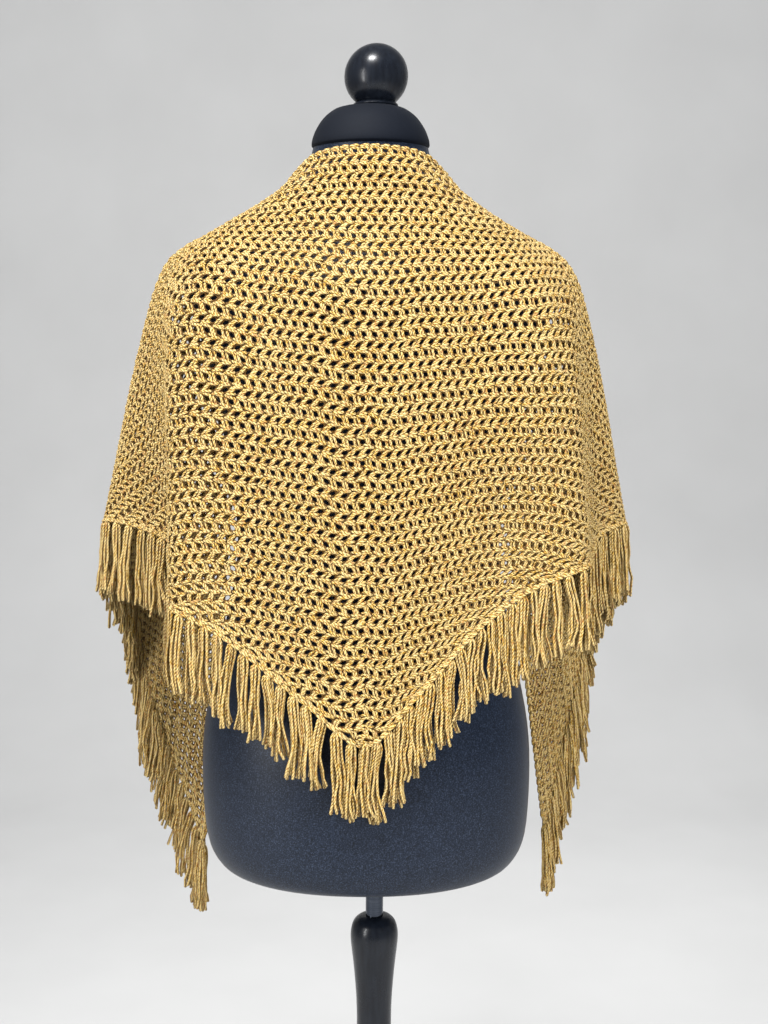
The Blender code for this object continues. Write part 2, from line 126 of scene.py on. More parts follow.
# Dress form: oval rings from the bottom up. Columns: z, middle x, half width, depth to the
# front (+Y), depth to the back, and the power that squares the oval.
FORM_RINGS = (
    (0.7370, -0.0055, 0.120, 0.080, 0.080, 2.2),
    (0.7405, -0.0055, 0.142, 0.096, 0.098, 2.2),
    (0.7520, -0.0055, 0.160, 0.108, 0.110, 2.2),
    (0.7800, -0.0055, 0.172, 0.118, 0.118, 2.2),
    (0.8400, -0.0055, 0.176, 0.122, 0.122, 2.2),
    (0.9000, -0.0055, 0.173, 0.118, 0.120, 2.2),
    (0.9700, -0.0050, 0.159, 0.108, 0.108, 2.2),
    (1.0400, -0.0040, 0.144, 0.098, 0.091, 2.2),
    (1.0900, -0.0030, 0.138, 0.095, 0.083, 2.2),
    (1.1400, -0.0020, 0.142, 0.102, 0.087, 2.2),
    (1.2000, -0.0010, 0.152, 0.120, 0.099, 2.2),
    (1.2500, 0.0000, 0.161, 0.122, 0.109, 2.2),
    (1.3000, 0.0000, 0.174, 0.103, 0.114, 2.2),
    (1.3400, 0.0000, 0.187, 0.082, 0.109, 2.2),
    (1.3660, -0.0010, 0.195, 0.069, 0.098, 2.1),
    (1.3860, -0.0015, 0.184, 0.061, 0.087, 2.0),
    (1.4040, -0.0015, 0.153, 0.057, 0.078, 2.0),
    (1.4280, -0.0010, 0.114, 0.056, 0.070, 2.0),
    (1.4515, 0.0000, 0.088, 0.056, 0.064, 2.0),
    (1.4730, 0.0000, 0.067, 0.056, 0.060, 2.0),
    (1.5000, 0.0000, 0.059, 0.057, 0.058, 2.0),
)

# Turned pieces, from the bottom up. Columns: radius, z.
NECK_CAP = (
    (0.0585, 1.5004), (0.0605, 1.5030), (0.0590, 1.5110), (0.0545, 1.5210),
    (0.0470, 1.5310), (0.0370, 1.5385), (0.0290, 1.5410),
)
FINIAL_FOOT = ((0.0215, 1.5413), (0.0232, 1.5436), (0.0200, 1.5466))
FINIAL_BALL_RADIUS = 0.0325
FINIAL_BALL_Z = 1.5720
FINIAL_X = 0.005
FINIAL_LEAN = math.radians(1.5)
POLE = ((0.0096, 0.6793), (0.0096, 0.7366))
COLUMN = (
    (0.0450, 0.0368), (0.0460, 0.0420), (0.0340, 0.0500), (0.0240, 0.0640),
    (0.0230, 0.0720), (0.0315, 0.0800), (0.0340, 0.0900), (0.0315, 0.1000),
    (0.0230, 0.1080), (0.0240, 0.1200), (0.0250, 0.1700), (0.0220, 0.3200),
    (0.0198, 0.4800), (0.0190, 0.5560), (0.0195, 0.5800), (0.0210, 0.6035),
    (0.0232, 0.6270), (0.0252, 0.6440), (0.0261, 0.6560), (0.0250, 0.6660),
    (0.0222, 0.6730), (0.0170, 0.6775), (0.0115, 0.6790),
)
# The column and the pole lean a little to the right, by this much for each metre of height.
STAND_LEAN = 0.0048
BASE = (
    (0.1690, 0.0000), (0.1720, 0.0060), (0.1690, 0.0120), (0.1500, 0.0180),
    (0.1000, 0.0290), (0.0600, 0.0365),
)

# Crochet gauge: rows down the depth, and the width of one stitch along a row.
ROWS = 60
ROW_HEIGHT = DEPTH / ROWS
STITCH_WIDTH = 0.0097
YARN_RADIUS = 0.00150
SIDES = 5

# Strands of one stitch. Columns: across in stitches, mirrored in odd rows; down in rows; out in
# metres away from the form; size, which scales the yarn. The two strands of a post lie
# POST_SPACING stitches apart and have the share ROW_LEAN of the tables' lean: first in even
# rows, then in odd rows.
POST_SPACING = (0.28, 0.22)
ROW_LEAN = (0.38, 0.78)
POST_STRANDS = (
    (-0.5, (
        (-0.38, -0.02, -0.0006, 0.70),
        (-0.26, 0.22, 0.0004, 1.02),
        (0.00, 0.54, 0.0006, 1.00),
        (0.24, 0.86, 0.0001, 0.98),
        (0.33, 1.08, -0.0010, 0.60),
    )),
    (0.5, (
        (-0.34, 0.02, -0.0011, 0.70),
        (-0.24, 0.24, -0.0003, 1.02),
        (0.02, 0.55, 0.0000, 1.00),
        (0.28, 0.87, 0.0003, 0.98),
        (0.38, 1.10, -0.0006, 0.60),
    )),
)
LINK_STRANDS = (
    (
        (-0.18, 0.11, -0.0010, 0.60),
        (0.06, 0.04, 0.0004, 0.98),
        (0.42, -0.05, 0.0012, 1.08),
        (0.80, -0.14, 0.0009, 1.06),
        (1.03, -0.16, -0.0006, 0.62),
    ),
    (
        (-0.12, -0.03, -0.0011, 0.60),
        (0.10, 0.05, 0.0000, 0.98),
        (0.46, 0.13, 0.0009, 1.08),
        (0.84, 0.20, 0.0009, 1.06),
        (1.07, 0.20, -0.0008, 0.62),
    ),
)

# The slanted hole of one stitch in the net below the strands, in the same measures.
HOLE_MIDDLE = (0.5, 0.53)
HOLE_SLANT = 0.78
HOLE_CORNERS = (
    (0.00, -0.24), (0.20, -0.12), (0.20, 0.12),
    (0.00, 0.24), (-0.20, 0.12), (-0.20, -0.12),
)
CELL_CORNERS = ((0.5, 0.0), (1.0, 0.0), (1.0, 1.0), (0.5, 1.0), (0.0, 1.0), (0.0, 0.0))
# The holes shrink with the cloth's gathering, which is 1 where it lies flat, down to the share
# LEAST_OPEN. They would be shut at CLOSED_GATHER.
CLOSED_GATHER = 0.55
LEAST_OPEN = 0.15
# The net's tone and mark. The mark puts the net in the painted crevice shade, so it shows as painted
# shadow between the strands.
GROUND_TONE = 0.35
GROUND_SHADE_MARK = (0.8, 0.06)

# Tassels. Columns: share of a strand's way down from the hem, distance from the tassel's axis,
# and size, which scales the yarn.
TASSELS_PER_SIDE = 57
TASSEL_LENGTH = 0.079
TASSEL_YARN_RADIUS = 0.00152
TASSEL_RINGS = (
    (-0.030, 0.0003, 0.60), (0.004, 0.0018, 0.90), (0.040, 0.0040, 1.00),
    (0.085, 0.0050, 1.00), (0.150, 0.0051, 0.98), (0.230, 0.0048, 0.98),
    (0.320, 0.0045, 1.00), (0.420, 0.0047, 1.00), (0.530, 0.0050, 1.00),
    (0.640, 0.0054, 1.00), (0.750, 0.0059, 1.00), (0.870, 0.0064, 1.02),
    (0.985, 0.0068, 1.12), (1.000, 0.0069, 0.60),
)
# Extra tassels that thicken the two tips.
TIP_TASSELS = (56.4, 56.7, 56.95)
# Neighbouring tassels that hang together: their number, below the second value, their sway to
# one side, as a slope, and their share of the spread. OWN_SWAY is each tassel's own.
CLUMP_SIZES = (1, 4)
CLUMP_SWAY = 0.022
OWN_SWAY = CLUMP_SWAY / 3
CLUMP_LIFT = (0.5, 1.25)
# Columns: name, first and last tassel number, step from tassel to tassel, strands in each.
FRINGE_STRETCHES = (
    ("back", 0, 14, 0.76, 9),
    ("side", 14, 30, 1.08, 10),
    ("front", 30, TASSELS_PER_SIDE, 1.08, 10),
)


def unit(vectors):
    """The vectors with a length of one."""
    return vectors / np.linalg.norm(vectors, axis=-1, keepdims=True)


def circle(sides):
    """Cosines and sines of evenly spaced angles."""
    angles = np.arange(sides) * 2 * math.pi / sides
    return np.cos(angles), np.sin(angles)


def between(start, end, start_slope, end_slope, part):
    """Points at a share of the way along smooth curves with these ends and slopes."""
    square = part * part
    cube = square * part
    return (
        (2 * cube - 3 * square + 1) * start
        + (cube - 2 * square + part) * start_slope
        + (3 * square - 2 * cube) * end
        + (cube - square) * end_slope
    )


def spline(rows, where):
    """Points of a smooth curve through evenly numbered rows, at the given row numbers."""
    rows = np.asarray(rows, float)
    last = len(rows) - 1
    where = np.clip(where, 0, last)
    first = np.minimum(where.astype(int), last - 1)
    before = rows[np.maximum(first - 1, 0)]
    start = rows[first]
    end = rows[first + 1]
    after = rows[np.minimum(first + 2, last)]
    start_slope = np.where((first > 0)[..., None], (end - before) / 2, end - start)
    end_slope = np.where((first + 2 <= last)[..., None], (after - start) / 2, end - start)
    return between(start, end, start_slope, end_slope, (where - first)[..., None])


def through_points(points, steps):
    """Smooth curves through the listed points, each of which is an array of positions."""
    last = len(points) - 1
    samples = []
    for number in range(last):
        start = points[number]
        end = points[number + 1]
        chord = np.linalg.norm(end - start, axis=-1, keepdims=True)
        start_slope = end - start
        end_slope = end - start
        if number > 0:
            start_slope = unit(end - points[number - 1]) * chord
        if number + 2 <= last:
            end_slope = unit(points[number + 2] - start) * chord
        for part in np.linspace(0, 1, steps, endpoint=number == last - 1):
            samples.append(between(start, end, start_slope, end_slope, part))
    return np.array(samples)


def signed_falls():
    """All falls in one table from the left tip to the right tip, with signed x, top and hem."""
    signed = [0, 1, 2, 5, 8]
    left = np.array(LEFT_FALLS)[::-1]
    left[:, signed] *= -1
    return np.vstack([left, np.array([MIDDLE_FALL]), np.array(RIGHT_FALLS)])


ALL_FALLS = signed_falls()
TIP_HEM = float(ALL_FALLS[-1, 1])
# Steps of the smooth curve between two of a fall's points.
FALL_STEPS = 24


def drape(falls, shares):
    """Cloth points for signed fall numbers (rows) and shares of the way down (columns)."""
    table = spline(ALL_FALLS, falls + LAST_FALL)
    top = table[:, 0]
    edge = spline(TOP_EDGE, np.abs(top) / TOP_EDGE_STEP)
    edge[:, 0] *= np.sign(top)
    curves = through_points([edge, table[:, 2:5], table[:, 5:8], table[:, 8:11]], FALL_STEPS)
    lengths = np.linalg.norm(np.diff(curves, axis=0), axis=-1)
    run = np.vstack([np.zeros(len(falls)), np.cumsum(lengths, axis=0)])
    points = np.empty((len(falls), len(shares), 3))
    for number in range(len(falls)):
        for axis in range(3):
            wanted = shares * run[-1, number]
            points[number, :, axis] = np.interp(wanted, run[:, number], curves[:, number, axis])
    rise = np.clip((shares - FOLD_START) / (1 - FOLD_START), 0, 1)
    for fall, width, out, front in FOLDS:
        bump = np.exp(-(((np.abs(falls) - fall) / width) ** 2))
        points[:, :, 0] += np.outer(bump * np.sign(falls), rise) * out
        points[:, :, 1] += np.outer(bump, rise) * front
    return points


# A finer set of falls, FINE_STEPS to each listed one, with their tops and hems.
FINE_STEPS = 40
FINE_FALLS = np.linspace(-LAST_FALL, LAST_FALL, 2 * LAST_FALL * FINE_STEPS + 1)
FINE_TOPS, FINE_HEMS = spline(ALL_FALLS, FINE_FALLS + LAST_FALL)[:, :2].T


def sample(grid, row, column):
    """Values of a grid at fractional row and column numbers, carried on past its edges."""
    low_row = np.clip(np.floor(row).astype(int), 0, grid.shape[0] - 2)
    low_column = np.clip(np.floor(column).astype(int), 0, grid.shape[1] - 2)
    down = (row - low_row)[..., None]
    across = (column - low_column)[..., None]
    upper = grid[low_row, low_column] * (1 - across) + grid[low_row, low_column + 1] * across
    lower = grid[low_row + 1, low_column] * (1 - across) + grid[low_row + 1, low_column + 1] * across
    return upper * (1 - down) + lower * down


def length_share(falls, shares):
    """How far down its fall a row lies, from the share of the fall's rows above it."""
    fall, early, middle = np.array(PACE).T
    early = np.interp(falls, fall, early)
    middle = np.interp(falls, fall, middle)
    first = EARLY_LENGTH / early
    second = (MIDDLE_LENGTH - EARLY_LENGTH) / (middle - early)
    third = (1 - MIDDLE_LENGTH) / (1 - middle)
    total = np.zeros(np.shape(shares))
    for offset in PACE_OFFSETS:
        at = shares + offset
        total += first * at
        total += np.maximum(at - early, 0) * (second - first)
        total += np.maximum(at - middle, 0) * (third - second)
    return total / len(PACE_OFFSETS)


class Cloth:
    """Places of flat cloth points on the drape: u along the long edge, v down from it."""

    FLAT_ROWS = 241
    FLAT_COLUMNS = 1201
    FIRST_DEPTH = 0.0006
    LAST_DEPTH_SHARE = 0.996
    SHARES = 161
    EVEN_SHARES = np.linspace(0.02, 1, 80)
    LEAST_HALF_WIDTH = 0.004

    def __init__(self):
        dense = drape(FINE_FALLS, np.linspace(0, 1, self.SHARES))
        depths = DEPTH * (1 - np.abs(FINE_HEMS) / TIP_HEM)
        self.depths = np.linspace(self.FIRST_DEPTH, DEPTH * self.LAST_DEPTH_SHARE, self.FLAT_ROWS)
        self.sides = np.linspace(-1, 1, self.FLAT_COLUMNS)
        self.points = np.empty((self.FLAT_ROWS, self.FLAT_COLUMNS, 3))
        for number, depth in enumerate(self.depths):
            reached = depths > depth
            falls = FINE_FALLS[reached]
            shares = depth / depths[reached]
            # Further falls, those that cross this depth at even shares of their own length.
            hems = TIP_HEM * (1 - depth / (self.EVEN_SHARES * DEPTH))
            even = self.EVEN_SHARES[hems >= 0]
            hems = hems[hems >= 0]
            right = np.interp(hems, FINE_HEMS, FINE_FALLS)
            left = np.interp(-hems, FINE_HEMS, FINE_FALLS)
            falls = np.concatenate([falls, right, left])
            shares = np.concatenate([shares, even, even])
            tops = np.interp(falls, FINE_FALLS, FINE_TOPS)
            ends = np.interp(falls, FINE_FALLS, FINE_HEMS)
            flat = tops + (ends - tops) * shares
            order = np.argsort(flat, kind="stable")
            wanted = self.sides * self.half_width(depth)
            fall = np.interp(wanted, flat[order], falls[order])
            share = np.interp(wanted, flat[order], shares[order])
            place = (fall + LAST_FALL) / (2 * LAST_FALL) * (len(FINE_FALLS) - 1)
            way = length_share(fall, share)
            self.points[number] = sample(dense, place, way * (self.SHARES - 1))
        across = np.gradient(self.points, axis=1)
        down = np.gradient(self.points, axis=0)
        flat_across = self.half_width(self.depths)[:, None] * (self.sides[1] - self.sides[0])
        flat_down = self.depths[1] - self.depths[0]
        normals = np.cross(down, across)
        self.normals = unit(normals)
        area = np.linalg.norm(normals, axis=-1) / (flat_across * flat_down)
        self.gathering = np.sqrt(area)[..., None]

    @staticmethod
    def half_width(depth):
        """Half of the flat cloth's width at a depth below the long edge."""
        return TIP_HEM * (1 - depth / DEPTH)

    def find(self, u, v):
        """Grid rows and columns of flat points."""
        row = (v - self.depths[0]) / (self.depths[1] - self.depths[0])
        side = u / np.maximum(self.half_width(v), self.LEAST_HALF_WIDTH)
        column = (side + 1) / 2 * (self.FLAT_COLUMNS - 1)
        return row, column

    def place(self, u, v, out=0.0):
        """Points in space for flat points, out metres away from the form, and their normals."""
        row, column = self.find(u, v)
        normals = unit(sample(self.normals, row, column))
        return sample(self.points, row, column) + normals * np.asarray(out)[..., None], normals

    def gather(self, u, v):
        """How much smaller than flat the draped cloth is here, as a length ratio."""
        row, column = self.find(u, v)
        return sample(self.gathering, row, column)[..., 0]


cloth = Cloth()


def stitches_in_row(row):
    """Number of stitches of a row, even for even rows so that rows are offset by half a stitch."""
    wide = 2 * Cloth.half_width((row + 0.5) * ROW_HEIGHT) / STITCH_WIDTH
    return max(2 * round((wide - row % 2) / 2) + row % 2, 1 + (row + 1) % 2)


STITCH_COUNTS = [stitches_in_row(row) for row in range(ROWS)]
# Stitches lean to follow the hem by a power of their share, up to LEAN_REACH, of the way out to
# the last one.
LEAN_POWER = 5
LEAN_REACH = 1.2


def flat_place(row, number, across, down):
    """Flat u, v of a place in a stitch: its row and number, and shares across and down it.

    The stitches keep the gauge in the middle, and the last ones lean to follow the hem.
    """
    end = STITCH_COUNTS[row] / 2
    lattice = number - end + across
    v = (row + down) * ROW_HEIGHT
    missing = Cloth.half_width(v) - end * STITCH_WIDTH
    share = np.clip(np.abs(lattice) / end, 0, LEAN_REACH)
    return lattice * STITCH_WIDTH + np.sign(lattice) * missing * share**LEAN_POWER, v


def closed_faces(rings, sides, start, tips):
    """Triangles and quads of a closed tube with rings of points from start on, and two tips."""
    around = np.arange(sides)
    following = (around + 1) % sides
    last = start + (rings - 1) * sides
    triangles = np.concatenate([
        np.stack([np.full(sides, tips[0]), start + following, start + around], axis=1),
        np.stack([np.full(sides, tips[1]), last + around, last + following], axis=1),
    ])
    band = np.stack([around, following, sides + following, sides + around], axis=1)
    starts = start + np.arange(rings - 1) * sides
    quads = (band[None] + starts[:, None, None]).reshape(-1, 4)
    return triangles, quads


def tube_mesh(centres, normals, radii, run, tones):
    """Closed tubes along many centre lines, all with the same number of rings.

    centres and normals are strands x rings x 3, the others strands x rings. run is the length
    along a strand. The first and last rings are single tips. A point's marks are the cosine and
    sine of its place round the yarn, and its run.
    """
    strands, rings = centres.shape[:2]
    along = unit(np.gradient(centres, axis=1))
    side = unit(np.cross(along, normals))
    up = np.cross(side, along)
    cosines, sines = circle(SIDES)
    body = slice(1, rings - 1)
    ring_points = centres[:, body, None] + radii[:, body, None, None] * (
        cosines[:, None] * side[:, body, None] + sines[:, None] * up[:, body, None]
    )
    copies = np.full(rings, SIDES)
    copies[[0, -1]] = 1
    points = np.repeat(centres, copies, axis=1)
    points[:, 1:-1] = ring_points.reshape(strands, -1, 3)
    marks = np.zeros(points.shape)
    marks[:, 1:-1, 0] = np.tile(cosines, rings - 2)
    marks[:, 1:-1, 1] = np.tile(sines, rings - 2)
    marks[..., 2] = np.repeat(run, copies, axis=1)
    per_strand = points.shape[1]
    triangles, quads = closed_faces(rings - 2, SIDES, 1, (0, per_strand - 1))
    offsets = (np.arange(strands) * per_strand)[:, None, None]
    return (
        points.reshape(-1, 3),
        (triangles[None] + offsets).reshape(-1, 3),
        (quads[None] + offsets).reshape(-1, 4),
        marks.reshape(-1, 3),
        np.repeat(tones, copies, axis=1).reshape(-1),
    )


def join_parts(parts):
    """Several sets of points, triangles, quads, marks and tones as one."""
    points, triangles, quads, marks, tones = zip(*parts)
    starts = np.cumsum([0] + [len(part) for part in points])
    return (
        np.concatenate(points),
        np.concatenate([faces + start for faces, start in zip(triangles, starts)]),
        np.concatenate([faces + start for faces, start in zip(quads, starts)]),
        np.concatenate(marks),
        np.concatenate(tones),
    )


def new_object(name, data):
    """An object in the scene that shows the data."""
    shown = bpy.data.objects.new(name, data)
    bpy.context.scene.collection.objects.link(shown)
    return shown


def make_piece(name, points, triangles, quads, material, marks=None, tones=None):
    """A named smooth mesh object from arrays of points and faces."""
    mesh = bpy.data.meshes.new(name)
    mesh.vertices.add(len(points))
    mesh.vertices.foreach_set("co", np.asarray(points, np.float32).ravel())
    corners = np.concatenate([triangles.ravel(), quads.ravel()]).astype(np.int32)
    sizes = np.concatenate([np.full(len(triangles), 3), np.full(len(quads), 4)])
    starts = np.concatenate([[0], np.cumsum(sizes)[:-1]]).astype(np.int32)
    mesh.loops.add(len(corners))
    mesh.loops.foreach_set("vertex_index", corners)
    mesh.polygons.add(len(sizes))
    mesh.polygons.foreach_set("loop_start", starts)
    mesh.polygons.foreach_set("use_smooth", np.ones(len(sizes), bool))
    mesh.update(calc_edges=True)
    mesh.validate()
    layers = (("twist", "FLOAT_VECTOR", "vector", marks), ("tone", "FLOAT", "value", tones))
    for label, kind, field, values in layers:
        if values is not None:
            layer = mesh.attributes.new(label, kind, "POINT")
            layer.data.foreach_set(field, np.asarray(values, np.float32).ravel())
    mesh.materials.append(material)
    return new_object(name, mesh)


class Nodes:
    """Short helper for building a material's node tree."""

    def __init__(self, name):
        self.material = bpy.data.materials.new(name)
        self.material.use_nodes = True
        self.tree = self.material.node_tree
        self.shader = self.tree.nodes["Principled BSDF"]

    def feed(self, socket, value):
        """Gives a socket a number, a colour or the output of another node."""
        if isinstance(value, bpy.types.NodeSocket):
            self.tree.links.new(value, socket)
        else:
            socket.default_value = (*value, 1.0) if isinstance(value, tuple) else value

    def add(self, kind, inputs=None, **settings):
        node = self.tree.nodes.new(kind)
        for key, value in settings.items():
            setattr(node, key, value)
        for key, value in (inputs or {}).items():
            self.feed(node.inputs[key], value)
        return node

    def math(self, operation, *values):
        return self.add("ShaderNodeMath", dict(enumerate(values)), operation=operation).outputs[0]

    def place(self):
        return self.add("ShaderNodeTexCoord").outputs["Object"]

    def stretched(self, *scale):
        node = self.add("ShaderNodeMapping", {"Vector": self.place()})
        node.inputs["Scale"].default_value = scale
        return node.outputs["Vector"]

    def noise(self, scale, detail=1.0, roughness=0.5, source=None, shift=None):
        inputs = {"Scale": scale, "Detail": detail, "Roughness": roughness}
        inputs["Vector"] = source or self.place()
        if shift:
            inputs["W"] = shift
        dimensions = "4D" if shift else "3D"
        return self.add("ShaderNodeTexNoise", inputs, noise_dimensions=dimensions).outputs["Fac"]

    def ramp(self, value, stops):
        node = self.add("ShaderNodeValToRGB", {"Fac": value})
        ramp = node.color_ramp
        while len(ramp.elements) < len(stops):
            ramp.elements.new(0.5)
        for element, (position, colour) in zip(ramp.elements, stops):
            element.position = position
            element.color = (*colour, 1.0)
        return node.outputs["Color"]

    def mix(self, factor, first, second, blend="MIX"):
        inputs = {0: factor, 6: first, 7: second}
        node = self.add("ShaderNodeMix", inputs, data_type="RGBA", blend_type=blend)
        return node.outputs[2]

    def bump(self, height, strength, distance):
        inputs = {"Strength": strength, "Distance": distance, "Height": height}
        return self.add("ShaderNodeBump", inputs).outputs["Normal"]

    def set(self, **values):
        for key, value in values.items():
            self.feed(self.shader.inputs[key.replace("_", " ")], value)


# Yarn colours, from its darkest, partly dye and partly painted shade in the valleys between plies, to
# its undyed flecks, and their places on the scale that the patterns add up to, from YARN_START.
YARN_DEEP = (0.19, 0.075, 0.008)
YARN_GOLD = (0.44, 0.218, 0.022)
YARN_LIGHT = (0.665, 0.412, 0.075)
YARN_CREAM = (0.80, 0.605, 0.27)
YARN_ROSE = (0.46, 0.16, 0.035)
YARN_SCALE = ((0.12, YARN_DEEP), (0.40, YARN_GOLD), (0.66, YARN_LIGHT), (0.92, YARN_CREAM))
YARN_START = -0.90
# Painted crevice shade: the share of its colour that the yarn keeps at each strand's sides, where
# strands meet, by colour.
PAINTED_CREVICE_SHADE = (0.11, 0.065, 0.03)
PLIES = 4
PLY_PITCH = 0.0036
# The flecks' pattern: the yarn's radius in it, twice, and the share of the yarn's length.
FLECK_STRETCH = (0.0014, 0.0014, 0.6)


def yarn_material():
    """Plied, marled yarn: slanted plies, pale and rosy flecks, painted shade at the strands' sides and
    in the valleys between plies, and a fuzzy sheen.
    """
    nodes = Nodes("marled yarn")
    twist = nodes.add("ShaderNodeAttribute", attribute_name="twist").outputs["Vector"]
    marks = nodes.add("ShaderNodeSeparateXYZ", {0: twist}).outputs
    tone = nodes.add("ShaderNodeAttribute", attribute_name="tone").outputs["Fac"]
    turn = nodes.math("MULTIPLY", nodes.math("ARCTAN2", marks[1], marks[0]), PLIES / 2)
    phase = nodes.math("MULTIPLY_ADD", marks[2], math.pi / PLY_PITCH, turn)
    ply = nodes.math("ABSOLUTE", nodes.math("COSINE", phase))
    fibre = nodes.add("ShaderNodeCombineXYZ")
    for number, factor in enumerate(FLECK_STRETCH):
        nodes.feed(fibre.inputs[number], nodes.math("MULTIPLY", marks[number], factor))
    strand_shift = nodes.math("MULTIPLY", tone, 40.0)
    flecks = nodes.noise(520.0, source=fibre.outputs[0], shift=strand_shift)
    specks = nodes.noise(800.0)
    patches = nodes.noise(280.0)
    broad = nodes.noise(16.0)
    value = YARN_START
    # The ply term partly paints shade: the valleys between plies push the colour down towards
    # YARN_DEEP.
    weights = ((flecks, 1.5), (specks, 0.9), (tone, 0.16), (ply, 0.55), (broad, 0.16))
    for pattern, weight in weights:
        value = nodes.math("MULTIPLY_ADD", pattern, weight, value)
    rosy = nodes.ramp(patches, ((0.58, (0.0, 0.0, 0.0)), (0.70, (0.6, 0.6, 0.6))))
    colour = nodes.mix(rosy, nodes.ramp(value, YARN_SCALE), YARN_ROSE)
    # Painted shade: the base colour darkens towards each strand's sides, standing in for the shadow in
    # the crevices between strands.
    facing = nodes.math("ABSOLUTE", marks[1])
    painted_crevice_shade = nodes.ramp(facing, ((0.0, PAINTED_CREVICE_SHADE), (0.70, (1.0, 1.0, 1.0))))
    fuzz = nodes.math("MULTIPLY_ADD", nodes.noise(1900.0, 2.0, 0.6), 0.3, ply)
    nodes.set(Base_Color=nodes.mix(1.0, colour, painted_crevice_shade, "MULTIPLY"))
    nodes.set(Normal=nodes.bump(fuzz, 1.0, 0.0012), Roughness=0.88)
    nodes.set(Sheen_Weight=0.05, Sheen_Roughness=0.5, Specular_IOR_Level=0.15)
    return nodes.material


def jersey_material():
    """Dark stretch jersey with fine speckles and a soft sheen."""
    nodes = Nodes("dark jersey")
    speckle = nodes.noise(760.0, 2.0, 0.7)
    colour = nodes.ramp(speckle, (
        (0.36, (0.001, 0.003, 0.007)),
        (0.54, (0.008, 0.014, 0.029)),
        (0.76, (0.046, 0.062, 0.098)),
    ))
    nodes.set(Base_Color=colour, Normal=nodes.bump(speckle, 0.35, 0.0003), Roughness=0.42)
    nodes.set(Sheen_Weight=0.03, Sheen_Roughness=0.4, Specular_IOR_Level=0.30)
    return nodes.material


def cap_material():
    """Matte black woven cloth of the neck cap."""
    nodes = Nodes("cap cloth")
    weave = nodes.noise(2200.0, 2.0, 0.6)
    colour = nodes.ramp(weave, ((0.35, (0.002, 0.003, 0.006)), (0.75, (0.007, 0.010, 0.017))))
    nodes.set(Base_Color=colour, Normal=nodes.bump(weave, 0.4, 0.0003), Roughness=0.72)
    nodes.set(Sheen_Weight=0.01, Specular_IOR_Level=0.16)
    return nodes.material


def lacquer_material():
    """Black satin lacquer on turned wood, with faint grain and small scuffs."""
    nodes = Nodes("black lacquer")
    grain = nodes.noise(260.0, 3.0, 0.6, nodes.stretched(1.0, 1.0, 0.12))
    scuffs = nodes.noise(55.0, 4.0, 0.7)
    colour = nodes.ramp(grain, ((0.3, (0.003, 0.004, 0.007)), (0.8, (0.009, 0.012, 0.018))))
    nodes.set(Base_Color=colour, Roughness=nodes.math("MULTIPLY_ADD", scuffs, 0.22, 0.18))
    nodes.set(Normal=nodes.bump(grain, 0.12, 0.0003), Specular_IOR_Level=0.28)
    nodes.set(Coat_Weight=0.10, Coat_Roughness=0.12)
    return nodes.material


def steel_material():
    """Polished steel tube with faint brushing round it, its colour darkened and tinted blue as a
    painted reflection of dark surroundings.
    """
    nodes = Nodes("polished steel")
    brushing = nodes.noise(40.0, 2.0, 0.5, nodes.stretched(1.0, 1.0, 60.0))
    # Painted reflection: the colour is darkened and tinted blue, standing in for a mirrored dark,
    # bluish room.
    colour = nodes.ramp(brushing, ((0.3, (0.035, 0.042, 0.058)), (0.7, (0.075, 0.085, 0.105))))
    nodes.set(Base_Color=colour, Roughness=nodes.math("MULTIPLY_ADD", brushing, 0.10, 0.10))
    nodes.set(Metallic=1.0)
    return nodes.material


def backdrop_material():
    """Pale matte paper of the floor and the wall behind."""
    nodes = Nodes("pale paper")
    mottle = nodes.noise(3.0, 3.0, 0.5)
    colour = nodes.ramp(mottle, ((0.3, (0.55, 0.55, 0.545)), (0.7, (0.58, 0.58, 0.575))))
    nodes.set(Base_Color=colour, Roughness=0.9)
    return nodes.material


# Camera at the photograph's viewing angle.
CAMERA_PLACE = (0.0137, -1.45, 1.31)
CAMERA_PITCH = math.radians(7.26)
CAMERA_LENS = 48.55
CAMERA_SENSOR = 36.0

camera_data = bpy.data.cameras.new("camera")
camera_data.lens = CAMERA_LENS
camera_data.sensor_width = CAMERA_SENSOR
camera = new_object("camera", camera_data)
camera.location = CAMERA_PLACE
camera.rotation_euler = (math.pi / 2 - CAMERA_PITCH, 0.0, 0.0)
bpy.context.scene.camera = camera


yarn = yarn_material()
SEED = 11
generator = np.random.default_rng(SEED)


def stand_for(piece, node):
    """The piece moves with the part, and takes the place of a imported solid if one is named."""
    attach(piece, "root")
    if node:
        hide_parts(node)


def yarn_piece(name, parts, node=None):
    """A piece of the shawl from its points, triangles, quads, marks and tones."""
    points, triangles, quads, marks, tones = parts
    piece = make_piece(name, points, triangles, quads, yarn, marks, tones)
    stand_for(piece, node)


